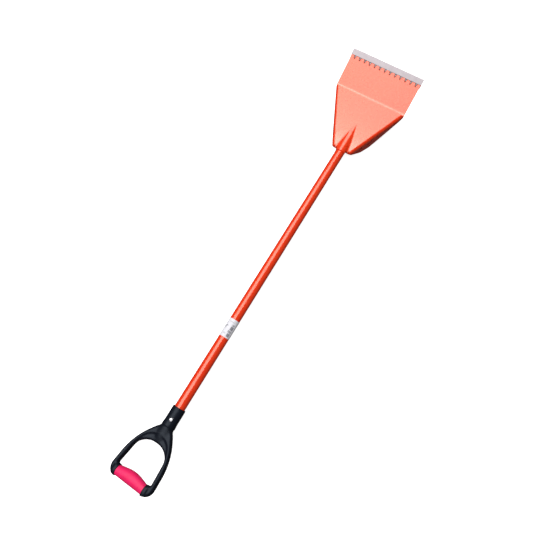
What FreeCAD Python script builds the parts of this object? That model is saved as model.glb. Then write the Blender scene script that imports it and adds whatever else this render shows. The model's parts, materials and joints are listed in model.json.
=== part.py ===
import FreeCAD, Part
import math
import os

from FreeCAD import Placement, Rotation, Vector

# Roofing tear-off shovel (shingle remover) with a D-handle, millimetres and degrees.
# Working frame: X across the tool, Y along the shaft towards the blade, Z towards the blade's top side.
# Y is 0 at the mouth of the D-handle's collar and the shaft's axis is the Y axis.
# The last step lays the whole tool on the floor, with the origin at the bottom centre of its box.

# Shaft
TUBE_RADIUS = 14.3
TUBE_WALL = 1.5
TUBE_REAR_Y = -46.0
TUBE_FRONT_Y = 932.0

# Blade: one pressed sheet with a rear panel, a fold and a front panel that ends in teeth
SHEET = 3.0
BLADE_Y = 884.0
PANEL_HEIGHT = 7.0
PANEL_SLOPE = 13.5
FOLD_ANGLE = 16.5
FOLD_RADIUS = 38.0
REAR_PANEL = 173.6
FRONT_PANEL = 107.0
BLADE_HALF = 115.0
REAR_HALF = 35.5
EDGE_BEND = 9.0
CORNER_RADIUS = 10.5
SHOULDER_LAP = 9.0
FLANGE_ROOM = 90.0
FLANGE_START = (1061.0, 51.0)
FLANGE_KNEE = (1042.0, 25.0)
FLANGE_KNEE_RADIUS = 45.0
FLANGE_END = (874.0, -2.0)

# Teeth on the front edge
TOOTH_PITCH = 17.0
NOTCH_COUNT = 13
NOTCH_DEPTH = 24.0
NOTCH_MOUTH = 10.0
NOTCH_WAIST = 6.6
NOTCH_WAIST_DEPTH = 15.5
NOTCH_ROOT_RADIUS = 0.8
TIP_THICKNESS = 1.0
BEVEL_LENGTH = 13.0

# Socket rib pressed over the end of the shaft
RIB_FRONT = 82.0
RIB_REAR = -7.5
RIB_RUN = 99.0
RIB_HEIGHT = 14.0
RIB_FADE = 1.6
RIB_TIP = 0.5
RIB_FILLET = 8.0
RIB_STATIONS = 6
SADDLE_REAR_Y = 865.0
SADDLE_LOW_Z = 9.0
SADDLE_ROOM = 60.0
SHAFT_CLEARANCE = 0.05

# Heel: the lowest stretch of the side flanges, with a strap welded between them
HEEL_DEPTH = 36.5
HEEL_FRONT_Y = 958.0
HEEL_REAR_Y = 926.0
HEEL_FRONT_RADIUS = 30.0
HEEL_REAR_RADIUS = 26.0
STRAP_THICKNESS = 4.0
STRAP_FRONT_Y = 969.0
STRAP_REAR_Y = 917.0

# Tooth guard: clip-on plastic channel over the teeth, with a longer lip underneath
GUARD_COVER = 15.8
GUARD_LIP = 11.0
GUARD_MOUTH_RADIUS = 0.4
GUARD_NOSE_RADIUS = 2.2
GUARD_SLOT_RADIUS = 0.6
GUARD_WALL = 1.2
GUARD_GAP = 0.25
GUARD_NOSE = 1.7
GUARD_HALF = 116.5

# D-handle
COLLAR_RADIUS = 17.5
COLLAR_LENGTH = 50.0
CRANK_ANGLE = 10.0
HANDLE_TWIST = 10.0
YOKE_HALF_THICKNESS = 11.0
YOKE_OUTLINE = [(18.5, 5.5, 22.0), (57.8, 62.0, 150.0), (64.5, 155.3, 23.0)]
WINDOW_OUTLINE = [(24.5, 46.5, 45.0), (45.2, 70.0, 30.0), (51.6, 130.0, 7.0)]
YOKE_RIM_FILLET = 4.8
YOKE_RIM_FROM = 9.0
NECK_HALF_WIDTH = 23.5
NECK_S = 16.0
NECK_HALF_HEIGHT = 10.5
MOUTH_FILLET = 1.2
CROSSBAR_S = 141.2
CROSSBAR_CORE_RADIUS = 8.0
CROSSBAR_OVERLAP = 4.0
GRIP_HALF = 41.0
GRIP_END_RADIUS = 12.3
GRIP_MID_RADIUS = 15.6
GRIP_ROOM = 22.0

# Rivets, label and welds
RIVET_Y = -32.0
RIVET_HEAD_RADIUS = 4.8
RIVET_HEAD_HEIGHT = 1.8
RIVET_SHANK_RADIUS = 2.4
RIVET_SEAT = 0.6
RIVET_GRIP = 5.0
RIVET_BULB = 1.1
MANDREL_BALL = 0.9
MANDREL_RADIUS = 1.3
LABEL_START_Y = 207.0
LABEL_END_Y = 260.5
LABEL_THICKNESS = 0.25
LABEL_WRAP = 310.0
BEAD_RADIUS = 3.2
SOCKET_WELD_REAR = (17.0, 887.0, 1.5)
SOCKET_WELD_FRONT = (8.5, 925.0, 11.0)
END_WELD_HALF = 7.0
END_WELD_STEP = 1.5
END_WELD_DROP = 0.8
HEEL_WELD_INSET = 3.0

AXIS_X = Vector(1, 0, 0)
AXIS_Y = Vector(0, 1, 0)
AXIS_Z = Vector(0, 0, 1)


def rounded_edges(corners, radii, closed=True):
    """Straight edges through 3-D corners, with a tangent arc of the given radius at each corner."""
    count = len(corners)
    cuts = []
    for i in range(count):
        corner = corners[i]
        radius = radii[i]
        at_end = not closed and i in (0, count - 1)
        if radius == 0 or at_end:
            cuts.append((corner, None, corner))
            continue
        back = (corners[i - 1] - corner).normalize()
        ahead = (corners[(i + 1) % count] - corner).normalize()
        half = back.getAngle(ahead) / 2
        reach = radius / math.tan(half)
        bisector = (back + ahead).normalize()
        middle = corner + bisector * (radius / math.sin(half) - radius)
        cuts.append((corner + back * reach, middle, corner + ahead * reach))
    edges = []
    last = count if closed else count - 1
    for i in range(count):
        start, middle, end = cuts[i]
        if middle is not None:
            edges.append(Part.Arc(start, middle, end).toShape())
        if i < last:
            edges.append(Part.LineSegment(end, cuts[(i + 1) % count][0]).toShape())
    return edges


def rounded_face(corners, radii):
    return Part.Face(Part.Wire(rounded_edges(corners, radii)))


def rod(start, end, radius, round_ends=False):
    """Round bar from start to end, with ball ends if asked."""
    run = end - start
    bar = Part.makeCylinder(radius, run.Length, start, run)
    if round_ends:
        bar = bar.fuse([Part.makeSphere(radius, start), Part.makeSphere(radius, end)]).removeSplitter()
    return bar


def biggest_solid(shape):
    return max(shape.Solids, key=lambda solid: solid.Volume)


def panel_frame():
    """Placement of the rear panel: local Y runs forward on its top face and local Z is its normal."""
    return Placement(Vector(0, BLADE_Y, PANEL_HEIGHT), Rotation(AXIS_X, PANEL_SLOPE))


def front_frame():
    """Placement of the front panel: local Y runs forward from the corner of the fold."""
    corner = panel_frame().multVec(Vector(0, REAR_PANEL, 0))
    return Placement(corner, Rotation(AXIS_X, PANEL_SLOPE + FOLD_ANGLE))


def yoke_frame():
    """Placement of the D-handle's yoke: local Y runs from the neck to the crossbar, Z is its normal."""
    turn = Rotation(AXIS_X, -CRANK_ANGLE).multiply(Rotation(AXIS_Z, 180))
    return Placement(Vector(0, -COLLAR_LENGTH, 0), turn)


def heel_line(y):
    """Height of the floor line at y: it joins the collar's lower rear end to the heel."""
    middle = (HEEL_FRONT_Y + HEEL_REAR_Y) / 2
    slope = (HEEL_DEPTH - COLLAR_RADIUS) / (middle + COLLAR_LENGTH)
    return -COLLAR_RADIUS - slope * (y + COLLAR_LENGTH)


def flange_corners():
    """Lower edge of the side flanges, from the fold to the rear lip, as corners and their radii."""
    corners = [
        Vector(0, *FLANGE_START),
        Vector(0, *FLANGE_KNEE),
        Vector(0, HEEL_FRONT_Y, heel_line(HEEL_FRONT_Y)),
        Vector(0, HEEL_REAR_Y, heel_line(HEEL_REAR_Y)),
        Vector(0, *FLANGE_END),
    ]
    return corners, [0, FLANGE_KNEE_RADIUS, HEEL_FRONT_RADIUS, HEEL_REAR_RADIUS, 0]


def tray_block(inset):
    """Solid block of the rear panel and its flanges, in panel_frame, with all its faces moved in by inset."""
    front = REAR_PANEL - FOLD_RADIUS * math.tan(math.radians(FOLD_ANGLE / 2))
    taper = (BLADE_HALF - REAR_HALF) / front
    side = inset * math.hypot(1, taper)
    rear_y = inset - EDGE_BEND
    rear_half = REAR_HALF + taper * rear_y - side
    shoulder = BLADE_HALF - inset
    shoulder_y = (shoulder + side - REAR_HALF) / taper
    nose_y = front + SHOULDER_LAP + inset
    outline = [
        Vector(rear_half, rear_y, -inset),
        Vector(shoulder, shoulder_y, -inset),
        Vector(shoulder, nose_y, -inset),
        Vector(-shoulder, nose_y, -inset),
        Vector(-shoulder, shoulder_y, -inset),
        Vector(-rear_half, rear_y, -inset),
    ]
    corner = CORNER_RADIUS - inset
    block = rounded_face(outline, [corner, 0, 0, 0, 0, corner]).extrude(Vector(0, 0, -FLANGE_ROOM))
    bends = []
    for edge in block.Edges:
        box = edge.BoundBox
        if box.ZMin > -inset - 0.01 and box.YMin < nose_y - 1:
            bends.append(edge)
    return block.makeFillet(EDGE_BEND - inset, bends)


def below_flanges():
    """Everything under the flanges' lower edge, as a block across the whole blade."""
    corners, radii = flange_corners()
    floor = [Vector(0, corners[-1].y, -FLANGE_ROOM), Vector(0, corners[0].y, -FLANGE_ROOM)]
    face = rounded_face(corners + floor, radii + [0, 0])
    face.translate(Vector(-BLADE_HALF - 5, 0, 0))
    return face.extrude(Vector(2 * BLADE_HALF + 10, 0, 0))


def front_sheet():
    """Fold and front panel as one band of sheet, in panel_frame."""
    turn = math.radians(FOLD_ANGLE)
    reach = FOLD_RADIUS * math.tan(turn / 2)
    forward = Vector(0, math.cos(turn), math.sin(turn))
    down = Vector(0, math.sin(turn), -math.cos(turn))
    corner = Vector(0, REAR_PANEL, 0)
    start = corner - AXIS_Y * reach
    end = corner + forward * reach
    tip = corner + forward * FRONT_PANEL
    centre = start + AXIS_Z * FOLD_RADIUS
    middle = Vector(0, math.sin(turn / 2), -math.cos(turn / 2))
    edges = [
        Part.Arc(start, centre + middle * FOLD_RADIUS, end).toShape(),
        Part.LineSegment(end, tip).toShape(),
        Part.LineSegment(tip, tip + down * SHEET).toShape(),
        Part.LineSegment(tip + down * SHEET, end + down * SHEET).toShape(),
        Part.Arc(
            end + down * SHEET,
            centre + middle * (FOLD_RADIUS + SHEET),
            start - AXIS_Z * SHEET,
        ).toShape(),
        Part.LineSegment(start - AXIS_Z * SHEET, start).toShape(),
    ]
    face = Part.Face(Part.Wire(edges))
    face.translate(Vector(-BLADE_HALF, 0, 0))
    return face.extrude(Vector(2 * BLADE_HALF, 0, 0))


def rib_height(y):
    """Height of the rib's crown above the rear panel at local y."""
    return RIB_HEIGHT * ((RIB_FRONT - y) / RIB_RUN) ** RIB_FADE + RIB_TIP


def rib_section(y, crown, fillet, height, base, floor):
    """Closed bell outline at local y: a crown arc between two hollow flanks, standing on base."""
    centre = base + height - crown
    foot = math.sqrt((2 * crown + 2 * fillet - height) * height)
    share = crown / (crown + fillet)
    join = Vector(foot * share, y, centre + (base + fillet - centre) * share)
    apex = Vector(0, y, base + height)
    left = Vector(-join.x, y, join.z)
    low = math.atan2(foot - join.x, base + fillet - join.z) / 2
    swing = Vector(foot - fillet * math.sin(low), y, base + fillet - fillet * math.cos(low))
    edges = [
        Part.Arc(Vector(foot, y, base), swing, join).toShape(),
        Part.Arc(join, apex, left).toShape(),
        Part.Arc(left, Vector(-swing.x, y, swing.z), Vector(-foot, y, base)).toShape(),
        Part.LineSegment(Vector(-foot, y, base), Vector(-foot, y, floor)).toShape(),
        Part.LineSegment(Vector(-foot, y, floor), Vector(foot, y, floor)).toShape(),
        Part.LineSegment(Vector(foot, y, floor), Vector(foot, y, base)).toShape(),
    ]
    return Part.Wire(edges)


def rib_body(crown, fillet, drop, floor):
    """Loft of the rib through its stations; drop lowers the whole rib by the sheet's thickness."""
    wires = []
    for i in range(RIB_STATIONS):
        y = RIB_REAR + (RIB_FRONT - RIB_REAR) * i / (RIB_STATIONS - 1)
        wires.append(rib_section(y, crown, fillet, rib_height(y), -drop, floor))
    return Part.makeLoft(wires, True, False)


def notch_cutters():
    """One pointed notch between each pair of teeth, in front_frame."""
    cutters = []
    outer = NOTCH_MOUTH / 2
    waist = NOTCH_WAIST / 2
    first = -TOOTH_PITCH * (NOTCH_COUNT - 1) / 2
    for i in range(NOTCH_COUNT):
        x = first + TOOTH_PITCH * i
        corners = [
            Vector(x - outer, FRONT_PANEL + 1, -2 * SHEET),
            Vector(x - waist, FRONT_PANEL - NOTCH_WAIST_DEPTH, -2 * SHEET),
            Vector(x, FRONT_PANEL - NOTCH_DEPTH, -2 * SHEET),
            Vector(x + waist, FRONT_PANEL - NOTCH_WAIST_DEPTH, -2 * SHEET),
            Vector(x + outer, FRONT_PANEL + 1, -2 * SHEET),
        ]
        face = rounded_face(corners, [0, 0, NOTCH_ROOT_RADIUS, 0, 0])
        cutters.append(face.extrude(Vector(0, 0, 3 * SHEET)))
    return cutters


def tip_bevel():
    """Wedge ground off the underside of the teeth, in front_frame."""
    corners = [
        Vector(0, FRONT_PANEL - BEVEL_LENGTH, -SHEET),
        Vector(0, FRONT_PANEL, -TIP_THICKNESS),
        Vector(0, FRONT_PANEL + 1, -TIP_THICKNESS),
        Vector(0, FRONT_PANEL + 1, -2 * SHEET),
        Vector(0, FRONT_PANEL - BEVEL_LENGTH, -2 * SHEET),
    ]
    face = Part.Face(Part.makePolygon(corners + corners[:1]))
    face.translate(Vector(-BLADE_HALF - 1, 0, 0))
    return face.extrude(Vector(2 * BLADE_HALF + 2, 0, 0))


def make_blade():
    """Pressed blade: panels, fold, flanges, rear lip, rib, saddle over the shaft and teeth."""
    inner = tray_block(SHEET)
    sheet = tray_block(0).cut(inner).fuse(front_sheet())
    sheet = sheet.fuse(rib_body(TUBE_RADIUS + SHEET, RIB_FILLET, 0, -SHEET / 2))
    hollow = rib_body(TUBE_RADIUS + SHAFT_CLEARANCE, RIB_FILLET + SHEET, SHEET, -2 * SHEET)
    sheet = sheet.cut(hollow)
    sheet.Placement = panel_frame()
    saddle_length = BLADE_Y - SADDLE_REAR_Y
    saddle = Part.makeCylinder(TUBE_RADIUS + SHEET, saddle_length, Vector(0, SADDLE_REAR_Y, 0), AXIS_Y)
    keep_corner = Vector(-SADDLE_ROOM / 2, SADDLE_REAR_Y - 1, SADDLE_LOW_Z)
    keep = Part.makeBox(SADDLE_ROOM, SADDLE_ROOM, SADDLE_ROOM, keep_corner)
    plane_cut = tray_block(0)
    plane_cut.Placement = panel_frame()
    saddle = saddle.common(keep)
    sheet = sheet.fuse(saddle.cut(plane_cut))
    shaft_room = Part.makeCylinder(
        TUBE_RADIUS + SHAFT_CLEARANCE,
        TUBE_FRONT_Y - SADDLE_REAR_Y + 20,
        Vector(0, SADDLE_REAR_Y - 10, 0),
        AXIS_Y,
    )
    sheet = sheet.cut(shaft_room).cut(below_flanges())
    teeth = notch_cutters() + [tip_bevel()]
    for cutter in teeth:
        cutter.Placement = front_frame()
    return biggest_solid(sheet.cut(teeth).removeSplitter())


def make_guard():
    """Clip-on channel: open at both ends, closed over the tips of the teeth."""
    outer_half = SHEET / 2 + GUARD_GAP + GUARD_WALL
    inner_half = SHEET / 2 + GUARD_GAP
    rear = FRONT_PANEL - GUARD_COVER
    nose = FRONT_PANEL + GUARD_GAP + GUARD_NOSE
    middle = -SHEET / 2
    outer = [
        Vector(0, rear - GUARD_LIP, middle - outer_half),
        Vector(0, nose, middle - outer_half),
        Vector(0, nose, middle + outer_half),
        Vector(0, rear, middle + outer_half),
        Vector(0, rear, middle),
        Vector(0, rear - GUARD_LIP, middle),
    ]
    slot = [
        Vector(0, rear - GUARD_LIP - 1, middle - inner_half),
        Vector(0, FRONT_PANEL + GUARD_GAP, middle - inner_half),
        Vector(0, FRONT_PANEL + GUARD_GAP, middle + inner_half),
        Vector(0, rear - GUARD_LIP - 1, middle + inner_half),
    ]
    outer_radii = [GUARD_MOUTH_RADIUS, GUARD_NOSE_RADIUS, GUARD_NOSE_RADIUS, GUARD_MOUTH_RADIUS, 0, 0]
    slot_radii = [0, GUARD_SLOT_RADIUS, GUARD_SLOT_RADIUS, 0]
    face = rounded_face(outer, outer_radii).cut(rounded_face(slot, slot_radii))
    face.translate(Vector(-GUARD_HALF, 0, 0))
    guard = face.extrude(Vector(2 * GUARD_HALF, 0, 0)).Solids[0]
    guard.Placement = front_frame()
    return guard


def make_tube():
    length = TUBE_FRONT_Y - TUBE_REAR_Y
    start = Vector(0, TUBE_REAR_Y, 0)
    outside = Part.makeCylinder(TUBE_RADIUS, length, start, AXIS_Y)
    return outside.cut(Part.makeCylinder(TUBE_RADIUS - TUBE_WALL, length, start, AXIS_Y))


def flange_line(first, second, y):
    """Point of the straight flange edge between two of its corners, at y."""
    share = (y - first.y) / (second.y - first.y)
    return first + (second - first) * share


def make_strap():
    """Heel strap: follows the flanges' lower edge round the heel and fills the space between them."""
    corners = flange_corners()[0]
    front = flange_line(corners[2], corners[1], STRAP_FRONT_Y)
    rear = flange_line(corners[3], corners[4], STRAP_REAR_Y)
    lower = [front, corners[2], corners[3], rear]
    normals = []
    for i in range(3):
        run = (lower[i + 1] - lower[i]).normalize()
        normals.append(Vector(0, run.z, -run.y) * STRAP_THICKNESS)
    upper = [front + normals[0], None, None, rear + normals[2]]
    for i in (1, 2):
        both = normals[i - 1] + normals[i]
        upper[i] = lower[i] + both * (2 * STRAP_THICKNESS**2 / both.Length**2)
    radii = [1, HEEL_FRONT_RADIUS, HEEL_REAR_RADIUS, 1]
    inner_radii = [1, HEEL_REAR_RADIUS - STRAP_THICKNESS, HEEL_FRONT_RADIUS - STRAP_THICKNESS, 1]
    face = rounded_face(lower + upper[::-1], radii + inner_radii)
    face.translate(Vector(-BLADE_HALF, 0, 0))
    strap = face.extrude(Vector(2 * BLADE_HALF, 0, 0))
    room = tray_block(SHEET)
    room.Placement = panel_frame()
    return biggest_solid(strap.common(room))


def make_socket_weld(side, blade, tube):
    """Fillet bead along one side of the shaft, under the rear panel."""
    start = Vector(side * SOCKET_WELD_REAR[0], *SOCKET_WELD_REAR[1:])
    end = Vector(side * SOCKET_WELD_FRONT[0], *SOCKET_WELD_FRONT[1:])
    return biggest_solid(rod(start, end, BEAD_RADIUS, True).cut([blade, tube]))


def make_end_weld(blade, tube):
    """Bead across the top of the shaft's front end, against the panel."""
    height = TUBE_RADIUS - END_WELD_DROP
    start = Vector(-END_WELD_HALF, TUBE_FRONT_Y + END_WELD_STEP, height)
    end = Vector(END_WELD_HALF, TUBE_FRONT_Y + END_WELD_STEP, height)
    inside = Part.makeCylinder(TUBE_RADIUS, TUBE_FRONT_Y, Vector(0, 0, 0), AXIS_Y)
    return biggest_solid(rod(start, end, BEAD_RADIUS, True).cut([blade, inside]))


def make_heel_weld(side, blade, strap):
    """Bead in the corner between the strap and one flange."""
    inner_face = tray_block(SHEET)
    inner_face.Placement = panel_frame()
    height = heel_line(HEEL_REAR_Y) + STRAP_THICKNESS
    ends = []
    for y in (HEEL_REAR_Y + HEEL_WELD_INSET, HEEL_FRONT_Y - HEEL_WELD_INSET):
        slice_box = Part.makeBox(2 * BLADE_HALF, 0.2, 0.2, Vector(-BLADE_HALF, y, height + 1))
        reach = slice_box.common(inner_face).BoundBox.XMax
        ends.append(Vector(side * reach, y, height))
    return biggest_solid(rod(ends[0], ends[1], BEAD_RADIUS, True).cut([blade, strap]))


def symmetric_face(side):
    """Face between a right-hand outline of (x, y, corner radius) points and its mirror image."""
    right = [Vector(x, y, 0) for x, y, radius in side]
    left = [Vector(-point.x, point.y, 0) for point in reversed(right)]
    radii = [radius for x, y, radius in side]
    return rounded_face(right + left, radii + radii[::-1])


def twisted(shape):
    """Turns a piece of the D-handle about the shaft, right side up, as it is riveted on."""
    shape.rotate(Vector(0, 0, 0), AXIS_Y, -HANDLE_TWIST)
    return shape


def make_handle():
    """D-handle: collar over the shaft, neck, flat yoke with its hand window, and the crossbar's core."""
    half = YOKE_HALF_THICKNESS
    face = symmetric_face(YOKE_OUTLINE).cut(symmetric_face(WINDOW_OUTLINE))
    face.translate(Vector(0, 0, -half))
    yoke = face.extrude(Vector(0, 0, 2 * half)).Solids[0]
    rims = []
    for edge in yoke.Edges:
        box = edge.BoundBox
        flat = box.ZLength < 0.01
        if flat and box.YMin > YOKE_RIM_FROM:
            rims.append(edge)
    yoke = yoke.makeFillet(YOKE_RIM_FILLET, rims)
    room_corner = Vector(-GRIP_HALF, CROSSBAR_S - GRIP_ROOM, -GRIP_ROOM)
    grip_room = Part.makeBox(2 * GRIP_HALF, 2 * GRIP_ROOM, 2 * GRIP_ROOM, room_corner)
    yoke = yoke.cut(grip_room)
    core_length = 2 * (GRIP_HALF + CROSSBAR_OVERLAP)
    core_start = Vector(-core_length / 2, CROSSBAR_S, 0)
    yoke = yoke.fuse(Part.makeCylinder(CROSSBAR_CORE_RADIUS, core_length, core_start, AXIS_X))
    yoke.Placement = yoke_frame()
    bore = Part.makeCylinder(TUBE_RADIUS, -TUBE_REAR_Y + 1, Vector(0, TUBE_REAR_Y, 0), AXIS_Y)
    collar = Part.makeCylinder(COLLAR_RADIUS, COLLAR_LENGTH, Vector(0, -COLLAR_LENGTH, 0), AXIS_Y)
    mouth = [edge for edge in collar.Edges if edge.BoundBox.YMin > -0.01]
    collar = collar.makeFillet(MOUTH_FILLET, mouth)
    ring = Part.Wire(Part.Circle(Vector(0, -COLLAR_LENGTH, 0), AXIS_Y, COLLAR_RADIUS).toShape())
    waist = Part.Wire(Part.Ellipse(Vector(0, NECK_S, 0), NECK_HALF_WIDTH, NECK_HALF_HEIGHT).toShape())
    waist.rotate(Vector(0, NECK_S, 0), AXIS_X, 90)
    waist.Placement = yoke_frame().multiply(waist.Placement)
    neck = Part.makeLoft([ring, waist], True, True)
    return twisted(biggest_solid(collar.fuse([neck, yoke]).cut(bore).removeSplitter()))


def make_grip():
    """Soft grip: straight on its outer side and crowned towards the hand window."""
    wires = []
    for share in (-1.0, -0.55, 0.0, 0.55, 1.0):
        swell = (1 - share**2) ** 1.5
        radius = GRIP_END_RADIUS + (GRIP_MID_RADIUS - GRIP_END_RADIUS) * swell
        centre = Vector(share * GRIP_HALF, CROSSBAR_S + GRIP_END_RADIUS - radius, 0)
        wires.append(Part.Wire(Part.Circle(centre, AXIS_X, radius).toShape()))
    grip = Part.makeLoft(wires, True, False)
    start = Vector(-GRIP_HALF - 1, CROSSBAR_S, 0)
    grip = grip.cut(Part.makeCylinder(CROSSBAR_CORE_RADIUS, 2 * GRIP_HALF + 2, start, AXIS_X))
    grip.Placement = yoke_frame()
    return twisted(grip.Solids[0])


def turned(points):
    """Solid of revolution about Z from (radius, height) points."""
    corners = [Vector(radius, 0, height) for radius, height in points]
    face = Part.Face(Part.makePolygon(corners + corners[:1]))
    return face.revolve(Vector(0, 0, 0), AXIS_Z, 360).Solids[0]


def at_rivet(shape):
    """Moves a piece made about the Z axis to the rivet's place on top of the collar."""
    shape.translate(Vector(0, RIVET_Y, 0))
    return shape


def rivet_solid():
    """Blind rivet: domed head on the collar, hollow shank and the bulb inside the shaft."""
    seat = COLLAR_RADIUS - RIVET_SEAT
    inside = TUBE_RADIUS - TUBE_WALL
    shank = RIVET_SHANK_RADIUS
    bulb = shank + RIVET_BULB
    bore = MANDREL_RADIUS
    profile = [
        (bore, inside - RIVET_GRIP),
        (bulb - 0.6, inside - RIVET_GRIP),
        (bulb, inside - 3.8),
        (bulb, inside - 1.4),
        (shank, inside - 0.6),
        (shank, seat),
        (RIVET_HEAD_RADIUS, seat),
        (RIVET_HEAD_RADIUS - 0.3, seat + 0.7),
        (RIVET_HEAD_RADIUS - 1.5, seat + RIVET_HEAD_HEIGHT - 0.3),
        (bore + 0.5, seat + RIVET_HEAD_HEIGHT),
        (bore, seat + RIVET_HEAD_HEIGHT - 0.4),
    ]
    return turned(profile)


def mandrel_solid():
    """Broken-off pull pin left inside a blind rivet, with its ball under the bulb."""
    inside = TUBE_RADIUS - TUBE_WALL
    top = COLLAR_RADIUS + 0.4
    ball = MANDREL_RADIUS + MANDREL_BALL
    profile = [
        (0, inside - 7.4),
        (ball - 0.5, inside - 7.2),
        (ball, inside - 6.2),
        (ball, inside - RIVET_GRIP),
        (MANDREL_RADIUS, inside - RIVET_GRIP),
        (MANDREL_RADIUS, top - 0.3),
        (MANDREL_RADIUS - 0.4, top),
        (0, top),
    ]
    return turned(profile)


def make_label():
    """Wrap-round sticker: a band turned about the shaft from just right to just left of the underside."""
    low = Vector(TUBE_RADIUS, LABEL_START_Y, 0)
    out = AXIS_X * LABEL_THICKNESS
    along = AXIS_Y * (LABEL_END_Y - LABEL_START_Y)
    strip = Part.Face(Part.makePolygon([low, low + out, low + out + along, low + along, low]))
    label = strip.revolve(Vector(0, 0, 0), AXIS_Y, LABEL_WRAP)
    label.rotate(Vector(0, 0, 0), AXIS_Y, (360 - LABEL_WRAP) / 2 + 90)
    return label.Solids[0]


def rivet_hole():
    return turned([
        (0, 0),
        (RIVET_SHANK_RADIUS, 0),
        (RIVET_SHANK_RADIUS, COLLAR_RADIUS - RIVET_SEAT),
        (RIVET_HEAD_RADIUS, COLLAR_RADIUS - RIVET_SEAT),
        (RIVET_HEAD_RADIUS, COLLAR_RADIUS + 2),
        (0, COLLAR_RADIUS + 2),
    ])


def build():
    blade = make_blade()
    tube = make_tube()
    strap = make_strap()
    nodes = {
        "blade": blade,
        "tooth_guard": make_guard(),
        "heel_strap": strap,
        "weld_socket_left": make_socket_weld(-1, blade, tube),
        "weld_socket_right": make_socket_weld(1, blade, tube),
        "weld_shaft_end": make_end_weld(blade, tube),
        "weld_heel_left": make_heel_weld(-1, blade, strap),
        "weld_heel_right": make_heel_weld(1, blade, strap),
        "handle_tube": biggest_solid(tube.cut(at_rivet(rivet_hole()))),
        "d_handle": biggest_solid(make_handle().cut(at_rivet(rivet_hole()))),
        "grip_sleeve": make_grip(),
        "collar_rivet": at_rivet(rivet_solid()),
        "rivet_pin": at_rivet(mandrel_solid()),
        "wrap_label": make_label(),
    }
    return nodes


def lay_on_floor(nodes):
    """Turn the floor line level, then put the origin at the bottom centre of the whole tool."""
    middle = (HEEL_FRONT_Y + HEEL_REAR_Y) / 2
    rise = heel_line(-COLLAR_LENGTH) - heel_line(middle)
    tilt = math.degrees(math.atan2(rise, middle + COLLAR_LENGTH))
    for shape in nodes.values():
        shape.rotate(Vector(0, 0, 0), AXIS_X, tilt)
    box = FreeCAD.BoundBox()
    for shape in nodes.values():
        box.add(shape.optimalBoundingBox(False))
    shift = Vector(-(box.XMin + box.XMax) / 2, -(box.YMin + box.YMax) / 2, -box.ZMin)
    for shape in nodes.values():
        shape.translate(shift)
    return tilt, shift


nodes = build()
tilt, shift = lay_on_floor(nodes)
os.makedirs("parts", exist_ok=True)
for name, shape in nodes.items():
    shape.exportStep("parts/" + name + ".step")
    box = shape.BoundBox
    print(name, "valid", shape.isValid(), "solids", len(shape.Solids), "volume", round(shape.Volume, 1),
          "z", round(box.ZMin, 2), round(box.ZMax, 2))
print("tilt", round(tilt, 4), "shift", [round(value, 3) for value in shift])
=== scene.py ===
import json
import math

import bpy
import numpy as np
from mathutils import Matrix, Vector


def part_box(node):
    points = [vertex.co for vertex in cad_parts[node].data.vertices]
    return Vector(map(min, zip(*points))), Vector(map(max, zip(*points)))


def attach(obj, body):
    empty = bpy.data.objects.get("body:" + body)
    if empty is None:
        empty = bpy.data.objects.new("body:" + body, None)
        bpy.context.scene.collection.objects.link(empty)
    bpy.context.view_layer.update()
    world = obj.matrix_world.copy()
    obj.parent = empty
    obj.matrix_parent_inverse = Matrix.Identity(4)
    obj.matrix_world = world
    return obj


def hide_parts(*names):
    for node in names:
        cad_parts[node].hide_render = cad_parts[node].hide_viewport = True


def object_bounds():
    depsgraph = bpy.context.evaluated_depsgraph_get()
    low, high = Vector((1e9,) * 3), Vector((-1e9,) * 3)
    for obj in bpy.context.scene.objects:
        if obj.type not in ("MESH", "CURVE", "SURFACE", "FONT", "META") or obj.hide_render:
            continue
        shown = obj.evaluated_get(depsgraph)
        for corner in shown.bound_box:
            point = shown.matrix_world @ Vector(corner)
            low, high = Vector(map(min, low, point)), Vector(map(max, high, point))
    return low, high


# Roofing tear-off shovel with a D-handle, lying on a pale floor. Metres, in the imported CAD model's frame.
# Pieces are shaped in the tool's own frame in millimetres: X across, Y along the shaft towards the blade
# with 0 at the mouth of the D-handle's collar, Z towards the blade's top side.

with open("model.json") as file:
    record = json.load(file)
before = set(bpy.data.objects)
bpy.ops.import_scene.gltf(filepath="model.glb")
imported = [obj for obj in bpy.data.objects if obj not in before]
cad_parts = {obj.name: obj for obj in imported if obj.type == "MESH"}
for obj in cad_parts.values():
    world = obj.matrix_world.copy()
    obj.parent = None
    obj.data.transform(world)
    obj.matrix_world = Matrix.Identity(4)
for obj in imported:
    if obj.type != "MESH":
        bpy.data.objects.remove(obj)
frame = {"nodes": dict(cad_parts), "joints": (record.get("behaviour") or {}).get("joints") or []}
cad_low, cad_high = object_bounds()

MM = 0.001

# Shaft and blade, millimetres and degrees
TUBE_RADIUS = 14.3
TUBE_REAR_Y = -46.0
TUBE_FRONT_Y = 932.0
BLADE_Y = 884.0
PANEL_HEIGHT = 7.0
PANEL_SLOPE = 13.5
FRONT_SLOPE = 30.0
REAR_PANEL = 173.6
FRONT_PANEL = 107.0
SHEET = 3.0
TOOTH_PITCH = 17.0
NOTCH_DEPTH = 24.0
BEVEL_LENGTH = 13.0
TIP_THICKNESS = 1.0

# Painted shade at the roots of the notches, standing in for the shadow seen through them, millimetres. A
# notch reaches ROOT_HALF to each side at its root and widens by
# ROOT_FLARE a millimetre; the painted shade fades out over the margin beside it and over the fade length
# before and after it.
ROOT_HALF = 1.5
ROOT_FLARE = 0.20
ROOT_SHADE_MARGIN = (0.3, 1.3)
ROOT_SHADE_BEHIND = 1.6
ROOT_SHADE_AHEAD = 12.0
ROOT_SHADE_FADE = 0.8
WHOLE_PITCHES = 40

# Ground bevel, millimetres: bare steel this near its plane, and the length over which the bevel starts
BEVEL_TOUCH = (0.12, 0.2)
BEVEL_START = 0.4

# Draw lines on the guard: the pattern is squeezed by this along the guard, so that its lines run lengthwise
DRAW_STRETCH = 0.01

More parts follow.
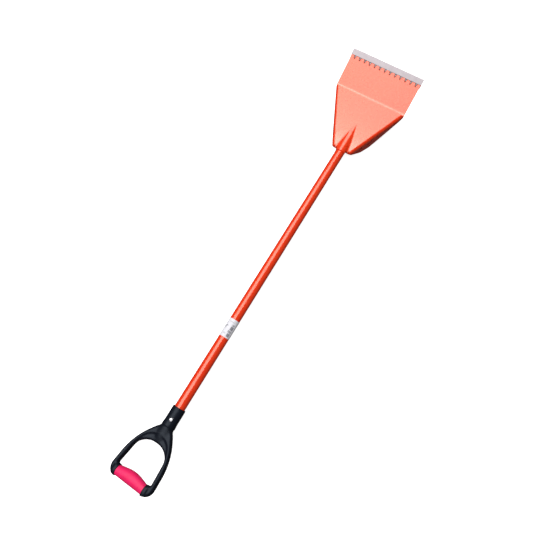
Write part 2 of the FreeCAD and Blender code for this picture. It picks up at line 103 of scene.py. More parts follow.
# Wear on the floor, metres: bare up to the first height and painted from the second, with streaks
WEAR_HEIGHTS = (-0.0026, -0.0017)
WEAR_RAGGED = 0.004
WEAR_STRETCH = 0.16

# Weld beads
BEAD_RADIUS = 3.2
BEAD_RIPPLE = 2.2
BEAD_DIP = 0.16
BEAD_STATIONS_PER_MM = 2.5
BEAD_SIDES = 16
SOCKET_WELD_REAR = (15.8, 892.0, 2.8)
SOCKET_WELD_FRONT = (8.5, 925.0, 11.0)
END_WELD_HALF = 7.0
END_WELD_STEP = 1.5
END_WELD_DROP = 0.8
HEEL_BEAD_LIFT = 1.0

# D-handle, in the yoke's frame: X across, S from the neck to the crossbar, N out of its top side.
# The outlines are right-hand corners: x, s and the radius of the arc there.
CRANK_ANGLE = 10.0
HANDLE_TWIST = 10.0
COLLAR_RADIUS = 17.5
COLLAR_LENGTH = 50.0
COLLAR_EDGE = 1.4
BORE_RADIUS = 14.33
YOKE_HALF = 11.0
YOKE_OUTLINE = [(18.5, 5.5, 22.0), (57.8, 62.0, 150.0), (64.5, 155.3, 23.0)]
WINDOW_OUTLINE = [(24.5, 46.5, 45.0), (45.2, 70.0, 30.0), (51.6, 130.0, 7.0)]
RIM_RADIUS = 6.2
NECK_LENGTH = 27.0
NECK_END_RADIUS = 11.6
WEB_S = 71.5
WEB_RADIUS = 43.5
WEB_DEPTH = 4.2
WEB_RUN = 8.0
CROSSBAR_S = 141.2
CORE_RADIUS = 8.0
GRIP_HALF = 41.0
GRIP_ROOM = 22.0
LUG_RADIUS = 13.4
LUG_HALF = 4.5
LUG_EDGE = 2.0
LUG_BLEND = 5.0
NECK_BLEND = 9.0
COLLAR_BLEND = 4.0

# Grid that the D-handle's surface is found on, in the yoke's frame
HANDLE_LOW = (-68.0, -54.0, -24.0)
HANDLE_HIGH = (68.0, 158.0, 29.0)
HANDLE_GRID = 1.6
POLISH_ROUNDS = 3
LEAST_SLOPE = 0.2

# Parting line round the D-handle's middle plane, millimetres
PARTING_HALF = 0.12
PARTING_FADE = 0.22

# Label: grey blocks in place of print, as start and end along the shaft, low and high round it, darkness
LABEL_START_Y = 207.0
LABEL_BLOCKS = [
    (4, 13, 4, 12, 0.85),
    (15, 21, 2, 12, 0.75),
    (23, 33, 4, 12, 0.9),
    (35, 39, 5, 11, 0.8),
    (24, 33, -11, -9.2, 1.0),
    (31, 33, -11, -5.5, 1.0),
    (8, 12, -8, -1, 0.3),
    (44, 46, -7, 7, 0.35),
]
BLOCK_FADE = 0.3

# Colours
WHITE = (1, 1, 1, 1)
ORANGE = (0.90, 0.048, 0.005, 1)
DEEP_ORANGE = (0.86, 0.034, 0.004, 1)
PAINT_GLOSS_TINT = (1.0, 0.9, 0.68, 1)
PAINT_COAT_TINT = (1.0, 0.97, 0.9, 1)
# Painted shade at the notch roots: dark red-brown that stands in for the shadow seen through the notches
ROOT_SHADE_COLOUR = (0.11, 0.030, 0.020, 1)
BARE_STEEL = (0.42, 0.41, 0.40, 1)
BLUE_BLACK = (0.0055, 0.0070, 0.0120, 1)
WORN_BLACK = (0.009, 0.011, 0.018, 1)
BLACK_GLOSS_TINT = (0.78, 0.88, 1.0, 1)
PINK = (0.93, 0.014, 0.138, 1)
DEEP_PINK = (0.86, 0.009, 0.108, 1)
MILKY = (0.67, 0.60, 0.63, 1)
DULL_MILKY = (0.61, 0.54, 0.57, 1)
PAPER = (0.80, 0.79, 0.84, 1)
DULL_PAPER = (0.75, 0.745, 0.79, 1)
INK = (0.10, 0.10, 0.12, 1)
ALUMINIUM = (0.92, 0.92, 0.94, 1)
DULL_ALUMINIUM = (0.78, 0.78, 0.8, 1)
PIN_STEEL = (0.6, 0.6, 0.62, 1)
DULL_PIN_STEEL = (0.4, 0.4, 0.42, 1)
FLOOR_PALE = (0.92, 0.92, 0.92, 1)
FLOOR_WHITE = (0.94, 0.94, 0.94, 1)

# Camera, metres and degrees
CAMERA_PLACE = Vector((0.182, -0.3885, 1.1288))
CAMERA_AIM = Vector((0.0095, -0.0590, 0.02))
CAMERA_ROLL = 32.1
LENS_MM = 27.34
SENSOR_MM = 36.0
CLIP_START = 0.05

# Lights, metres and watts
SOFTBOX_PLACE = (-1.0, 0.2, 2.2)
SOFTBOX_SIZE = (2.6, 3.8)
SOFTBOX_WATTS = 92
STRIP_PLACE = (-0.36, 0.58, 2.15)
STRIP_SIZE = (0.9, 0.34)
STRIP_WATTS = 3.6

# Strength of the surroundings in soft fill, in reflections and behind the stage
FILL_LEVEL = 0.24
GLOSS_LEVEL = 0.035
BACKDROP_LEVEL = 1.0

# Floor, metres
FLOOR_HALF = 40.0
FLOOR_DROP = 0.0006
FLOOR_GLOW = 0.85


def tool_frame():
    """Matrix from the tool's frame in millimetres to the row frame in metres."""
    axis = frame["joints"][0]["axis"]
    tilt = math.atan2(axis[2], axis[1]) - math.radians(FRONT_SLOPE)
    turn = Matrix.Rotation(tilt, 4, "X")
    tube_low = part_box("handle_tube")[0]
    rear_low = turn @ (Vector((0, TUBE_REAR_Y, -TUBE_RADIUS)) * MM)
    rear_high = turn @ (Vector((0, TUBE_REAR_Y, TUBE_RADIUS)) * MM)
    place = Vector((0, tube_low.y - rear_high.y, tube_low.z - rear_low.z))
    return Matrix.Translation(place) @ turn @ Matrix.Scale(MM, 4)


def front_frame():
    """Matrix from the front panel's frame to the tool's frame: Y runs forward, Z out of its top face."""
    slope = Matrix.Rotation(math.radians(PANEL_SLOPE), 4, "X")
    rear = Matrix.Translation((0, BLADE_Y, PANEL_HEIGHT)) @ slope
    corner = rear @ Vector((0, REAR_PANEL, 0))
    return Matrix.Translation(corner) @ Matrix.Rotation(math.radians(FRONT_SLOPE), 4, "X")


def yoke_frame():
    """Matrix from the yoke's frame to the tool's frame."""
    crank = Matrix.Rotation(math.radians(-CRANK_ANGLE), 4, "X") @ Matrix.Diagonal((1, -1, 1, 1))
    twist = Matrix.Rotation(math.radians(-HANDLE_TWIST), 4, "Y")
    return twist @ Matrix.Translation((0, -COLLAR_LENGTH, 0)) @ crank


TOOL = tool_frame()
FRONT = TOOL @ front_frame()
YOKE = TOOL @ yoke_frame()


# Materials

class Material:
    """A node material with a Principled shader, built up a node at a time."""

    def __init__(self, name, **sockets):
        self.material = bpy.data.materials.new(name)
        self.material.use_nodes = True
        self.tree = self.material.node_tree
        self.shader = self.tree.nodes["Principled BSDF"]
        for socket, value in sockets.items():
            self.shader.inputs[socket.replace("_", " ")].default_value = value
        self.place = self.node("ShaderNodeTexCoord").outputs["Object"]

    def node(self, kind, inputs=None, **settings):
        """New node; each input is another node's socket or a constant."""
        made = self.tree.nodes.new(kind)
        for name, value in settings.items():
            setattr(made, name, value)
        for name, value in (inputs or {}).items():
            if isinstance(value, bpy.types.NodeSocket):
                self.tree.links.new(value, made.inputs[name])
            else:
                made.inputs[name].default_value = value
        return made

    def math(self, operation, *values):
        return self.node("ShaderNodeMath", dict(enumerate(values)), operation=operation).outputs[0]

    def noise(self, scale, detail=3.0, roughness=0.5, place=None):
        inputs = {"Vector": place or self.place, "Scale": scale, "Detail": detail, "Roughness": roughness}
        return self.node("ShaderNodeTexNoise", inputs).outputs["Fac"]

    def spread(self, value, low, high, new_low=0.0, new_high=1.0):
        """Value stretched from low..high to new_low..new_high and held there outside it."""
        inputs = {"Value": value, "From Min": low, "From Max": high, "To Min": new_low, "To Max": new_high}
        return self.node("ShaderNodeMapRange", inputs).outputs["Result"]

    def blend(self, share, first, second):
        """Colour between first and second; a Mix node's colours are its inputs 6 and 7 and its output 2."""
        return self.node("ShaderNodeMix", {0: share, 6: first, 7: second}, data_type="RGBA").outputs[2]

    def within(self, matrix):
        """Coordinates of the shaded point in another frame, such as TOOL, as three sockets."""
        inverse = matrix.inverted()
        place, turn, scale = inverse.decompose()
        inputs = {"Vector": self.place, "Location": place, "Rotation": turn.to_euler(), "Scale": scale}
        moved = self.node("ShaderNodeMapping", inputs).outputs["Vector"]
        split = self.node("ShaderNodeSeparateXYZ", {"Vector": moved})
        return [split.outputs[axis] for axis in ("X", "Y", "Z")]

    def band(self, value, low, high, soft):
        """1 between low and high, falling to 0 over soft outside them."""
        up = self.spread(value, low - soft, low)
        down = self.spread(value, high, high + soft, 1.0, 0.0)
        return self.math("MULTIPLY", up, down)

    def to_shader(self, **sockets):
        for socket, value in sockets.items():
            self.tree.links.new(value, self.shader.inputs[socket.replace("_", " ")])

    def bump(self, height, distance, strength=1.0, under=None):
        inputs = {"Height": height, "Distance": distance, "Strength": strength}
        if under is not None:
            inputs["Normal"] = under
        return self.node("ShaderNodeBump", inputs).outputs["Normal"]


def powder_coat(name, roughness):
    """Glossy powder coat with orange peel and mottled tone: the material, its colour and its roughness."""
    made = Material(name, Specular_IOR_Level=0.95, Coat_Weight=1.0, Coat_Roughness=0.1)
    made.shader.inputs["Specular Tint"].default_value = PAINT_GLOSS_TINT
    made.shader.inputs["Coat Tint"].default_value = PAINT_COAT_TINT
    tone = made.spread(made.noise(scale=9.0, detail=4.0), 0.25, 0.75)
    colour = made.blend(tone, ORANGE, DEEP_ORANGE)
    cloudy = made.noise(scale=60.0, detail=5.0)
    rubs = made.spread(cloudy, 0.15, 0.85, roughness - 0.04, roughness + 0.12)
    peel = made.bump(made.noise(scale=520.0, detail=2.0), distance=0.00006, strength=0.5)
    made.to_shader(Normal=peel)
    return made, colour, rubs


def floor_wear(made):
    """Share of coat worn away in streaks along the tool, where a piece touches the floor."""
    x, y, height = made.node("ShaderNodeSeparateXYZ", {"Vector": made.place}).outputs
    drawn_out = made.math("MULTIPLY", y, WEAR_STRETCH)
    streaks = made.node("ShaderNodeCombineXYZ", {0: x, 1: drawn_out, 2: height}).outputs[0]
    grit = made.noise(scale=240.0, detail=6.0, roughness=0.7, place=streaks)
    ragged = made.math("MULTIPLY_ADD", grit, -WEAR_RAGGED, height)
    return made.spread(ragged, *WEAR_HEIGHTS, 1.0, 0.0)


def shaft_look():
    """Powder coat of the shaft and the weld beads."""
    made, colour, rubs = powder_coat("shaft_paint_look", 0.22)
    made.to_shader(Base_Color=colour, Roughness=rubs)
    return made.material


def heel_look():
    """Powder coat worn through to steel where the heel and the flanges touch the floor."""
    made, colour, rubs = powder_coat("heel_paint_look", 0.28)
    worn = floor_wear(made)
    made.to_shader(Base_Color=made.blend(worn, colour, BARE_STEEL), Metallic=worn)
    made.to_shader(Roughness=made.math("MULTIPLY_ADD", worn, 0.15, rubs))
    return made.material


def painted_root_shade(made, across, forward):
    """Share of painted shade round the root of each notch, darkening it as if it lay in shadow, from
    coordinates in the front panel's frame.
    """
    shifted = made.math("ADD", across, WHOLE_PITCHES * TOOTH_PITCH)
    from_notch = made.math("PINGPONG", shifted, TOOTH_PITCH / 2)
    root = FRONT_PANEL - NOTCH_DEPTH
    half_width = made.math("MULTIPLY_ADD", made.math("SUBTRACT", forward, root), ROOT_FLARE, ROOT_HALF)
    beside = made.spread(made.math("SUBTRACT", from_notch, half_width), *ROOT_SHADE_MARGIN, 1.0, 0.0)
    along = made.band(forward, root - ROOT_SHADE_BEHIND, root + ROOT_SHADE_AHEAD, ROOT_SHADE_FADE)
    return made.math("MULTIPLY", beside, along)


def ground_bevel(made, forward, out):
    """1 on the bevel ground off the underside of the teeth, from coordinates in the front panel's frame."""
    start = FRONT_PANEL - BEVEL_LENGTH
    slope = (SHEET - TIP_THICKNESS) / BEVEL_LENGTH
    plane = made.math("MULTIPLY_ADD", forward, slope, -SHEET - slope * start)
    from_plane = made.math("ABSOLUTE", made.math("SUBTRACT", out, plane))
    on_plane = made.spread(from_plane, *BEVEL_TOUCH, 1.0, 0.0)
    near_tip = made.spread(forward, start, start + BEVEL_START)
    return made.math("MULTIPLY", on_plane, near_tip)


def blade_look():
    """Powder coat with painted shade at the notch roots, a ground bevel under the teeth and a worn lower
    edge.
    """
    made, colour, rubs = powder_coat("blade_paint_look", 0.24)
    across, forward, out = made.within(FRONT)
    root_shade = painted_root_shade(made, across, forward)
    bare = made.math("MAXIMUM", ground_bevel(made, forward, out), floor_wear(made))
    # Bare steel and the painted shade at the notch roots both lose the coat and turn metallic; with its dark
    # colour the painted shade reflects almost nothing
    bare_and_root_shade = made.math("MAXIMUM", bare, root_shade)
    coat_and_root_shade = made.blend(root_shade, colour, ROOT_SHADE_COLOUR)
    made.to_shader(Base_Color=made.blend(bare, coat_and_root_shade, BARE_STEEL), Metallic=bare_and_root_shade)
    made.to_shader(Roughness=made.math("MULTIPLY_ADD", bare, 0.12, rubs))
    made.to_shader(Coat_Weight=made.spread(bare_and_root_shade, 0.0, 1.0, 1.0, 0.0))
    return made.material


def handle_look():
    """Blue-black moulded plastic with an eroded grain, a parting line and faint hand wear."""
    made = Material("handle_plastic_look", Specular_IOR_Level=0.26)
    made.shader.inputs["Specular Tint"].default_value = BLACK_GLOSS_TINT
    wear = made.spread(made.noise(scale=35.0, detail=5.0), 0.4, 0.75)
    rubs = made.spread(made.noise(scale=120.0, detail=4.0), 0.3, 0.7, 0.34, 0.46)
    made.to_shader(Base_Color=made.blend(wear, BLUE_BLACK, WORN_BLACK), Roughness=rubs)
    out = made.within(YOKE)[2]
    parting = made.band(out, -PARTING_HALF, PARTING_HALF, PARTING_FADE)
    line = made.bump(parting, distance=0.00025, strength=0.8)
    grain = made.noise(scale=1300.0, detail=2.0)
    made.to_shader(Normal=made.bump(grain, distance=0.00005, strength=0.55, under=line))
    return made.material


def grip_look():
    """Soft pink rubber, satin, with a fine spark-eroded grain."""
    made = Material("grip_rubber_look", Specular_IOR_Level=0.36, Sheen_Weight=0.05, Sheen_Roughness=0.4)
    tone = made.spread(made.noise(scale=40.0, detail=4.0), 0.35, 0.7)
    rubs = made.spread(made.noise(scale=150.0, detail=4.0), 0.3, 0.7, 0.42, 0.54)
    grain = made.noise(scale=1500.0, detail=2.0)
    made.to_shader(Base_Color=made.blend(tone, PINK, DEEP_PINK), Roughness=rubs)
    made.to_shader(Normal=made.bump(grain, distance=0.00006, strength=0.6))
    return made.material


def guard_look():
    """Milky, slightly see-through extruded plastic with faint draw lines along its length."""
    made = Material("guard_plastic_look", Alpha=0.82)
    across, forward, out = made.within(FRONT)
    drawn_out = made.math("MULTIPLY", across, DRAW_STRETCH)
    lines = made.node("ShaderNodeCombineXYZ", {0: drawn_out, 1: forward, 2: out}).outputs[0]
    drawn = made.noise(scale=1.6, detail=3.0, roughness=0.6, place=lines)
    haze = made.spread(made.noise(scale=70.0, detail=4.0), 0.35, 0.7)
    made.to_shader(Base_Color=made.blend(haze, MILKY, DULL_MILKY))
    made.to_shader(Roughness=made.spread(drawn, 0.3, 0.7, 0.28, 0.42))
    made.to_shader(Normal=made.bump(drawn, distance=0.0001, strength=0.35))
    return made.material


def label_look():
    """White coated paper with grey blocks where the print would be."""
    made = Material("label_paper_look", Specular_IOR_Level=0.4)
    across, forward, out = made.within(TOOL)
    around = made.math("MULTIPLY", made.math("ARCTAN2", across, out), TUBE_RADIUS)
    along = made.math("SUBTRACT", forward, LABEL_START_Y)
    inked = 0.0
    for start, end, low, high, darkness in LABEL_BLOCKS:
        lengthwise = made.band(along, start, end, BLOCK_FADE)
        crosswise = made.band(around, low, high, BLOCK_FADE)
        block = made.math("MULTIPLY", made.math("MULTIPLY", lengthwise, crosswise), darkness)
        inked = made.math("MAXIMUM", inked, block)
    speckle = made.spread(made.noise(scale=900.0, detail=3.0), 0.3, 0.6, 0.55, 1.0)
    fibre = made.spread(made.noise(scale=260.0, detail=5.0, roughness=0.7), 0.3, 0.7)
    paper = made.blend(fibre, PAPER, DULL_PAPER)
    made.to_shader(Base_Color=made.blend(made.math("MULTIPLY", inked, speckle), paper, INK))
    made.to_shader(Roughness=made.spread(made.noise(scale=90.0, detail=3.0), 0.3, 0.7, 0.38, 0.5))
    grain = made.noise(scale=700.0, detail=4.0, roughness=0.7)
    made.to_shader(Normal=made.bump(grain, distance=0.00004, strength=0.5))
    return made.material


def metal_look(name, colour, dull, roughness):
    """Bare metal with fine drawn scratches."""
    made = Material(name, Metallic=1.0)
    made.to_shader(Base_Color=made.blend(made.noise(scale=800.0, detail=3.0), colour, dull))
    scratches = made.noise(scale=1500.0, detail=3.0)
    made.to_shader(Roughness=made.spread(scratches, 0.3, 0.7, roughness, roughness + 0.15))
    made.to_shader(Normal=made.bump(made.noise(scale=2500.0, detail=2.0), distance=0.00002, strength=0.5))
    return made.material


SHAFT_PAINT = shaft_look()
HANDLE_PLASTIC = handle_look()
NODE_LOOKS = {
    "blade": blade_look(),
    "handle_tube": SHAFT_PAINT,
    "heel_strap": heel_look(),
    "tooth_guard": guard_look(),
    "grip_sleeve": grip_look(),
    "collar_rivet": metal_look("rivet_metal_look", ALUMINIUM, DULL_ALUMINIUM, 0.28),
    "rivet_pin": metal_look("pin_metal_look", PIN_STEEL, DULL_PIN_STEEL, 0.35),
    "wrap_label": label_look(),
}


def dress_nodes():
    """Give each CAD node that stays its look."""
    for name, look in NODE_LOOKS.items():
        piece = frame["nodes"][name]
        piece.data.materials.clear()
        piece.data.materials.append(look)


# Meshes

def add_piece(name, points, faces, look, matrix):
    """New smooth-shaded piece of the shovel's body, from points in the given frame."""
    mesh = bpy.data.meshes.new(name)
    placed = [matrix @ Vector(point) for point in points]
    mesh.from_pydata(placed, [], faces)
    mesh.shade_smooth()
    mesh.materials.append(look)
    piece = bpy.data.objects.new(name, mesh)
    bpy.context.scene.collection.objects.link(piece)
    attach(piece, "shovel")
    return piece


def smooth_step(share):
    """0 to 1 with level ends."""
    share = np.clip(share, 0, 1)
    return share * share * (3 - 2 * share)


def smooth_union(first, second, reach):
    """Union of two shapes, blended where their distances differ by less than reach."""
    share = np.maximum(reach - np.abs(first - second), 0) / reach
    return np.minimum(first, second) - share * share * reach / 4


def rounded_common(first, second, radius):
    """Common part of two shapes, with the edge between them rounded off."""
    across = first + radius
    along = second + radius
    outside = np.hypot(np.maximum(across, 0), np.maximum(along, 0))
    return np.minimum(np.maximum(across, along), 0) + outside - radius


def outline_points(side, steps=12):
    """Closed outline of the right-hand (x, s, radius) corners and their mirror image, each an arc."""
    corners = side + [(-x, s, radius) for x, s, radius in reversed(side)]
    points = []
    for i in range(len(corners)):
        corner = Vector(corners[i][:2])
        radius = corners[i][2]
        back = (Vector(corners[i - 1][:2]) - corner).normalized()
        ahead = (Vector(corners[(i + 1) % len(corners)][:2]) - corner).normalized()
        half = back.angle(ahead) / 2
        centre = corner + (back + ahead).normalized() * (radius / math.sin(half))
        start = corner + back * (radius / math.tan(half)) - centre
        end = corner + ahead * (radius / math.tan(half)) - centre
        sweep = math.copysign(math.pi - 2 * half, start.x * end.y - start.y * end.x)
        for k in range(steps + 1):
            angle = sweep * k / steps
            turned_x = start.x * math.cos(angle) - start.y * math.sin(angle)
            turned_s = start.x * math.sin(angle) + start.y * math.cos(angle)
            points.append((centre.x + turned_x, centre.y + turned_s))
    return points


def outline_distance(points, x, s):
    """Signed distance in the yoke's plane to a closed outline, negative inside it."""
    nearest = np.full(np.broadcast(x, s).shape, np.inf)
    sign = np.ones(nearest.shape)
    for (x0, s0), (x1, s1) in zip(points, points[1:] + points[:1]):
        run_x = x1 - x0
        run_s = s1 - s0
        share = np.clip(((x - x0) * run_x + (s - s0) * run_s) / (run_x**2 + run_s**2), 0, 1)
        nearest = np.minimum(nearest, np.hypot(x - x0 - run_x * share, s - s0 - run_s * share))
        if s0 != s1:
            crosses = (np.minimum(s0, s1) <= s) & (s < np.maximum(s0, s1))
            crosses = crosses & (x < x0 + (s - s0) * run_x / run_s)
            sign = np.where(crosses, -sign, sign)
    return nearest * sign


YOKE_EDGE = outline_points(YOKE_OUTLINE)
WINDOW_EDGE = outline_points(WINDOW_OUTLINE)


def handle_distance(x, s, n):
    """Signed distance to the D-handle's surface in the yoke's frame, in millimetres."""
    outer = outline_distance(YOKE_EDGE, x, s)
    window = outline_distance(WINDOW_EDGE, x, s)
    from_web = np.hypot(x, s - WEB_S)
    sunk = WEB_DEPTH * smooth_step((WEB_RADIUS + WEB_RUN / 2 - from_web) / WEB_RUN)
    plate = rounded_common(np.maximum(outer, -window), np.abs(n) - YOKE_HALF + sunk, RIM_RADIUS)

    lug_round = np.hypot(s - CROSSBAR_S, n) - LUG_RADIUS
    lug = rounded_common(lug_round, np.abs(np.abs(x) - GRIP_HALF - LUG_HALF) - LUG_HALF, LUG_EDGE)
    yoke = np.maximum(smooth_union(plate, lug, LUG_BLEND), outer)
    grip_room = np.maximum(np.abs(x) - GRIP_HALF, CROSSBAR_S - GRIP_ROOM - s)
    yoke = np.maximum(yoke, -grip_room)
    core = np.maximum(np.hypot(s - CROSSBAR_S, n) - CORE_RADIUS, np.abs(x) - GRIP_HALF - LUG_HALF)
    yoke = np.minimum(yoke, core)

    crank = math.radians(CRANK_ANGLE)
    along = n * math.sin(crank) - s * math.cos(crank)
    radial = np.hypot(x, s * math.sin(crank) + n * math.cos(crank))
    end = np.abs(along - COLLAR_LENGTH / 2) - COLLAR_LENGTH / 2
    collar = rounded_common(radial - COLLAR_RADIUS, end, COLLAR_EDGE)
    share = np.clip(s / NECK_LENGTH, 0, 1)
    neck_radius = COLLAR_RADIUS + (NECK_END_RADIUS - COLLAR_RADIUS) * share
    neck = np.sqrt(x**2 + (s - NECK_LENGTH * share)**2 + n**2) - neck_radius
    whole = smooth_union(smooth_union(yoke, neck, NECK_BLEND), collar, COLLAR_BLEND)
    bore = np.maximum(radial - BORE_RADIUS, COLLAR_LENGTH + TUBE_REAR_Y - along)
    return np.maximum(whole, -bore)


def surface_cells(field):
    """Cells that the surface passes through: a count and mean place of their edge crossings."""
    shape = tuple(size - 1 for size in field.shape)
    total = np.zeros(shape + (3,))
    count = np.zeros(shape)
    for axis in range(3):
        first = np.take(field, range(field.shape[axis] - 1), axis)
        second = np.take(field, range(1, field.shape[axis]), axis)
        crossing = (first < 0) != (second < 0)
        share = np.where(crossing, first / np.where(crossing, first - second, 1), 0)
        side, up = [other for other in range(3) if other != axis]
        for i in (0, 1):
            for j in (0, 1):
                part = [slice(None)] * 3
                part[side] = slice(i, i + shape[side])
                part[up] = slice(j, j + shape[up])
                here = crossing[tuple(part)]
                total[..., axis] += share[tuple(part)]
                total[..., side] += here * i
                total[..., up] += here * j
                count += here
    return total, count


def surface_quads(field, number):
    """Quads across every grid edge that crosses the surface, wound to face outwards."""
    quads = []
    for axis in range(3):
        side, up = (axis + 1) % 3, (axis + 2) % 3
        inside = np.moveaxis(field < 0, (axis, side, up), (0, 1, 2))
        cells = np.moveaxis(number, (axis, side, up), (0, 1, 2))
        first = inside[:-1, 1:-1, 1:-1]
        second = inside[1:, 1:-1, 1:-1]
        i, j, k = np.nonzero(first != second)
        around = ((0, 0), (1, 0), (1, 1), (0, 1))
        ring = np.stack([cells[i, j + right, k + above] for right, above in around], 1)
        leaving = first[i, j, k][:, None]
        quads.append(np.where(leaving, ring, ring[:, ::-1]))
    return np.concatenate(quads)


def surface_mesh(distance, low, high, step):
    """Points and quads where a distance function is zero, by surface nets and a Newton polish."""
    axes = [np.arange(low[i], high[i] + step, step) for i in range(3)]
    x, s, n = np.meshgrid(*axes, indexing="ij", sparse=True)
    field = distance(x, s, n) + np.zeros(tuple(len(axis) for axis in axes))
    total, count = surface_cells(field)
    used = count > 0
    number = np.full(count.shape, -1)
    number[used] = np.arange(used.sum())
    points = np.array(low) + (np.argwhere(used) + total[used] / count[used][:, None]) * step
    probe = step / 8
    for _ in range(POLISH_ROUNDS):
        value = distance(*points.T)
        slope = np.empty_like(points)
        for axis in range(3):
            nudge = np.zeros(3)
            nudge[axis] = probe
            rise = distance(*(points + nudge).T) - distance(*(points - nudge).T)
            slope[:, axis] = rise / (2 * probe)
        size = np.maximum((slope**2).sum(1), LEAST_SLOPE)
        points -= slope * (np.clip(value, -step / 2, step / 2) / size)[:, None]
    return points, surface_quads(field, number)


def build_bead(name, start, end):
    """Weld bead between two points of the tool's frame: a chain of overlapping ripples with rounded ends."""
    run = Vector(end) - Vector(start)
    ahead = run.normalized()
    side = ahead.orthogonal().normalized()
    up = ahead.cross(side)
    reach = run.length + 2 * BEAD_RADIUS
    stations = round(reach * BEAD_STATIONS_PER_MM)
    points = []
    for i in range(1, stations):
        along = reach * i / stations - BEAD_RADIUS
        beyond = max(-along, along - run.length, 0)
        cap = math.sqrt(max(1 - (beyond / BEAD_RADIUS)**2, 0))
        ripple = (along / BEAD_RIPPLE) % 1
        radius = BEAD_RADIUS * cap * (1 - BEAD_DIP * ripple**2)
        for k in range(BEAD_SIDES):
            angle = 2 * math.pi * k / BEAD_SIDES
            offset = side * (radius * math.cos(angle)) + up * (radius * math.sin(angle))
            points.append(Vector(start) + ahead * along + offset)
    faces = []
    for i in range(stations - 2):
        for k in range(BEAD_SIDES):
            low = i * BEAD_SIDES
            ring = (k + 1) % BEAD_SIDES
            faces.append((low + k, low + ring, low + BEAD_SIDES + ring, low + BEAD_SIDES + k))
    last = len(points) - BEAD_SIDES
    faces.append(tuple(range(BEAD_SIDES))[::-1])
    faces.append(tuple(range(last, last + BEAD_SIDES)))
    piece = add_piece(name + "_bead", points, faces, SHAFT_PAINT, TOOL)
    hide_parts(name)


def build_welds():
    """Beads along the shaft, across its end and in the corners between the heel strap and the flanges."""
    for side, word in ((-1, "left"), (1, "right")):
        rear = (side * SOCKET_WELD_REAR[0], *SOCKET_WELD_REAR[1:])
        front = (side * SOCKET_WELD_FRONT[0], *SOCKET_WELD_FRONT[1:])
        build_bead("weld_socket_" + word, rear, front)
        build_heel_bead("weld_heel_" + word, side)
    height = TUBE_RADIUS - END_WELD_DROP
    y = TUBE_FRONT_Y + END_WELD_STEP
    build_bead("weld_shaft_end", (-END_WELD_HALF, y, height), (END_WELD_HALF, y, height))


def build_heel_bead(name, side):
    """Bead between a flange and the heel strap, along the diagonal of its CAD solid's box."""
    box_low, box_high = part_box(name)
    inset = BEAD_RADIUS * MM
    near = box_low.x if side < 0 else box_high.x
    far = box_high.x if side < 0 else box_low.x
    height = box_low.z + HEEL_BEAD_LIFT * MM
    rear = Vector((far, box_low.y + inset, height))
    front = Vector((near - side * inset, box_high.y - inset, height))
    back = TOOL.inverted()
    build_bead(name, back @ rear, back @ front)


def build_handle():
    """Sculpted D-handle: collar, neck ridge, sunken web, rounded arms and the lugs that hold the grip."""
    points, quads = surface_mesh(handle_distance, HANDLE_LOW, HANDLE_HIGH, HANDLE_GRID)
    points = points.tolist()
    quads = quads.tolist()
    piece = add_piece("d_handle_moulding", points, quads, HANDLE_PLASTIC, YOKE)
    for corner in piece.data.vertices:
        corner.co.z = max(corner.co.z, cad_low.z)
    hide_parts("d_handle")


# Stage

def area_light(name, place, size, watts):
    """Rectangular light that shines straight down."""
    lamp = bpy.data.lights.new(name, "AREA")
    lamp.shape = "RECTANGLE"
    lamp.size, lamp.size_y = size
    lamp.energy = watts
    holder = bpy.data.objects.new(name, lamp)
    bpy.context.scene.collection.objects.link(holder)
    holder.location = place
    return holder


def build_lights():
    """A large softbox over the tool's left side, and a strip that brightens the fold of the blade alone."""
    area_light("softbox", SOFTBOX_PLACE, SOFTBOX_SIZE, SOFTBOX_WATTS)
    strip = area_light("fold_strip", STRIP_PLACE, STRIP_SIZE, STRIP_WATTS)
    lit = bpy.data.collections.new("lit_by_fold_strip")
    lit.objects.link(frame["nodes"]["blade"])
    strip.light_linking.receiver_collection = lit


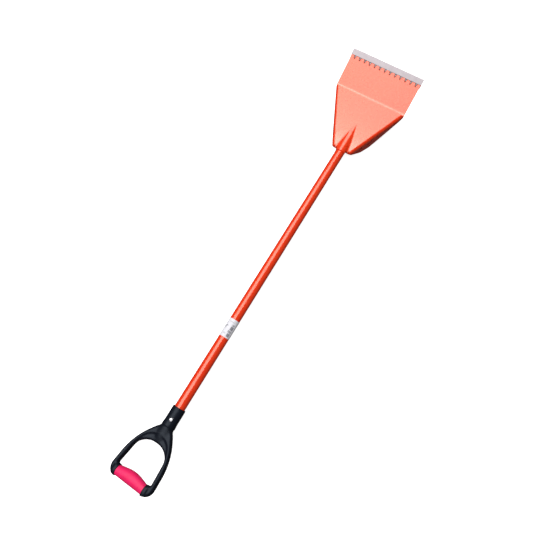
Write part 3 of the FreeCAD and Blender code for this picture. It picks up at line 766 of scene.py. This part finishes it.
def build_world():
    """Dim surroundings for soft fill, darker in reflections and white behind the stage."""
    world = bpy.data.worlds.new("studio")
    world.use_nodes = True
    tree = world.node_tree
    rays = tree.nodes.new("ShaderNodeLightPath")
    unseen = tree.nodes.new("ShaderNodeMix")
    unseen.inputs[2].default_value = FILL_LEVEL
    unseen.inputs[3].default_value = GLOSS_LEVEL
    tree.links.new(rays.outputs["Is Glossy Ray"], unseen.inputs[0])
    level = tree.nodes.new("ShaderNodeMix")
    level.inputs[3].default_value = BACKDROP_LEVEL
    tree.links.new(unseen.outputs[0], level.inputs[2])
    tree.links.new(rays.outputs["Is Camera Ray"], level.inputs[0])
    surroundings = tree.nodes["Background"]
    surroundings.inputs["Color"].default_value = WHITE
    tree.links.new(level.outputs[0], surroundings.inputs["Strength"])
    bpy.context.scene.world = world


def build_floor():
    """Pale floor that glows a little and throws neither light nor a reflection on the tool."""
    corners = [(x * FLOOR_HALF, y * FLOOR_HALF, 0) for x, y in ((-1, -1), (1, -1), (1, 1), (-1, 1))]
    mesh = bpy.data.meshes.new("floor")
    mesh.from_pydata(corners, [], [(0, 1, 2, 3)])
    floor = bpy.data.objects.new("floor", mesh)
    floor.location.z = -FLOOR_DROP
    bpy.context.scene.collection.objects.link(floor)
    look = Material("floor_look", Roughness=0.9, Specular_IOR_Level=0.0, Emission_Strength=FLOOR_GLOW)
    look.shader.inputs["Emission Color"].default_value = WHITE
    look.to_shader(Base_Color=look.blend(look.noise(scale=3.0), FLOOR_PALE, FLOOR_WHITE))
    mesh.materials.append(look.material)
    floor.visible_diffuse = False
    floor.visible_glossy = False


def build_camera():
    """Camera above the tool, rolled so that the shaft runs from lower left to upper right."""
    lens = bpy.data.cameras.new("camera")
    lens.lens = LENS_MM
    lens.sensor_width = SENSOR_MM
    lens.clip_start = CLIP_START
    camera = bpy.data.objects.new("camera", lens)
    bpy.context.scene.collection.objects.link(camera)
    ahead = (CAMERA_AIM - CAMERA_PLACE).normalized()
    right = ahead.cross(Vector((0, 1, 0))).normalized()
    above = right.cross(ahead)
    roll = math.radians(CAMERA_ROLL)
    turned_right = right * math.cos(roll) + above * math.sin(roll)
    turned_up = above * math.cos(roll) - right * math.sin(roll)
    turn = Matrix((turned_right, turned_up, -ahead)).transposed()
    camera.matrix_world = Matrix.Translation(CAMERA_PLACE) @ turn.to_4x4()
    bpy.context.scene.camera = camera


dress_nodes()
build_welds()
build_handle()
build_floor()
build_lights()
build_world()
build_camera()
bpy.context.scene.view_settings.view_transform = "Standard"
